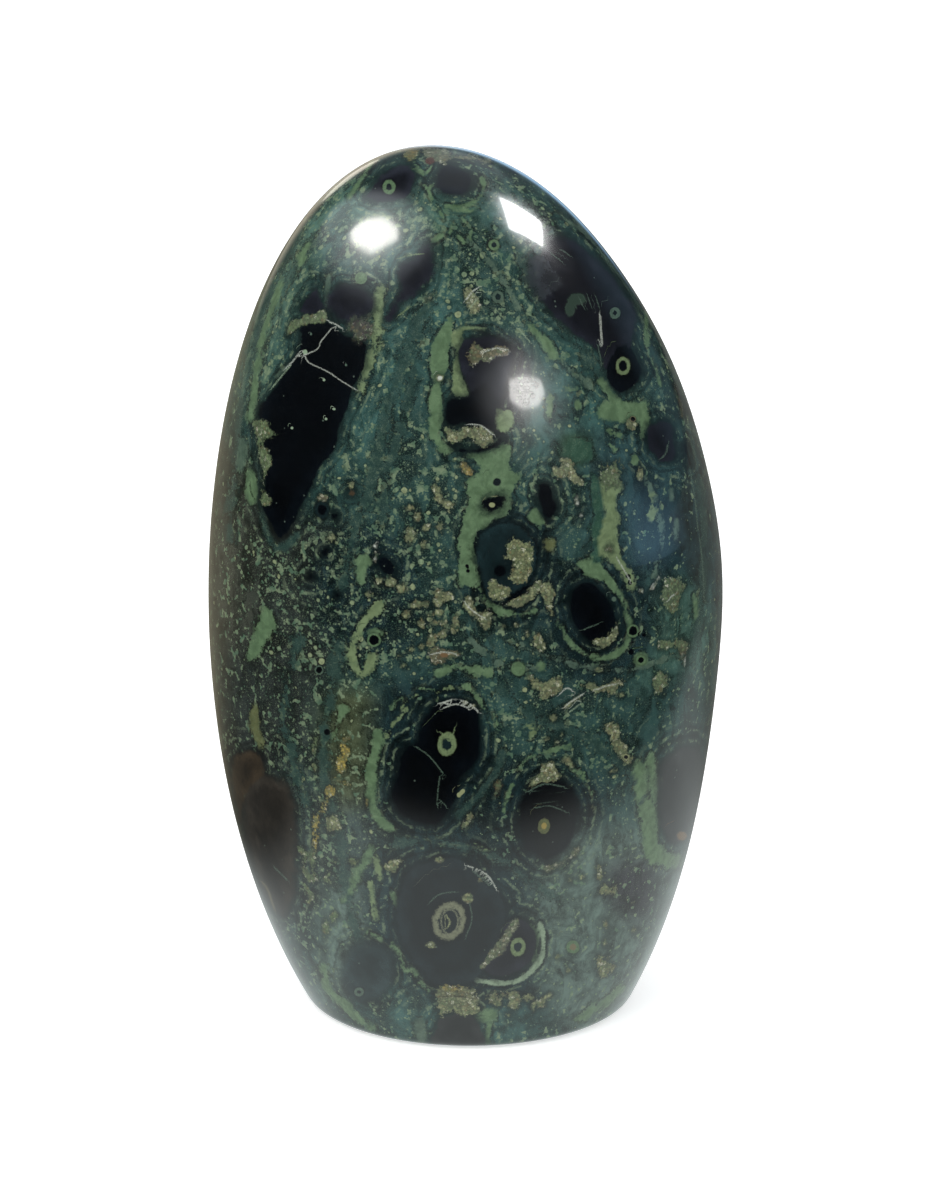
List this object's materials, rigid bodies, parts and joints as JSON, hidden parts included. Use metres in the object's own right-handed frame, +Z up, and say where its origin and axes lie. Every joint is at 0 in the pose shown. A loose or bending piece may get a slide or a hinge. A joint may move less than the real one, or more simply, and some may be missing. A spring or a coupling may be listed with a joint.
{
  "type": "kambaba jasper sculpture",
  "caption": "Polished free-standing freeform of green and black orbicular kambaba jasper, a rounded egg-like stone ground flat at its base.",
  "frame": {"origin": "middle of the outline, on the plane of the flat base", "axes": "+Z up along the tall axis, -Y towards the viewer's side of the stone, +X to the right seen from there"},
  "size_m": [0.0876, 0.066, 0.1496],
  "materials": {
    "stone": "polished"
  },
  "bodies": {
    "root": {"stone": "stone"}
  },
  "joints": []
}
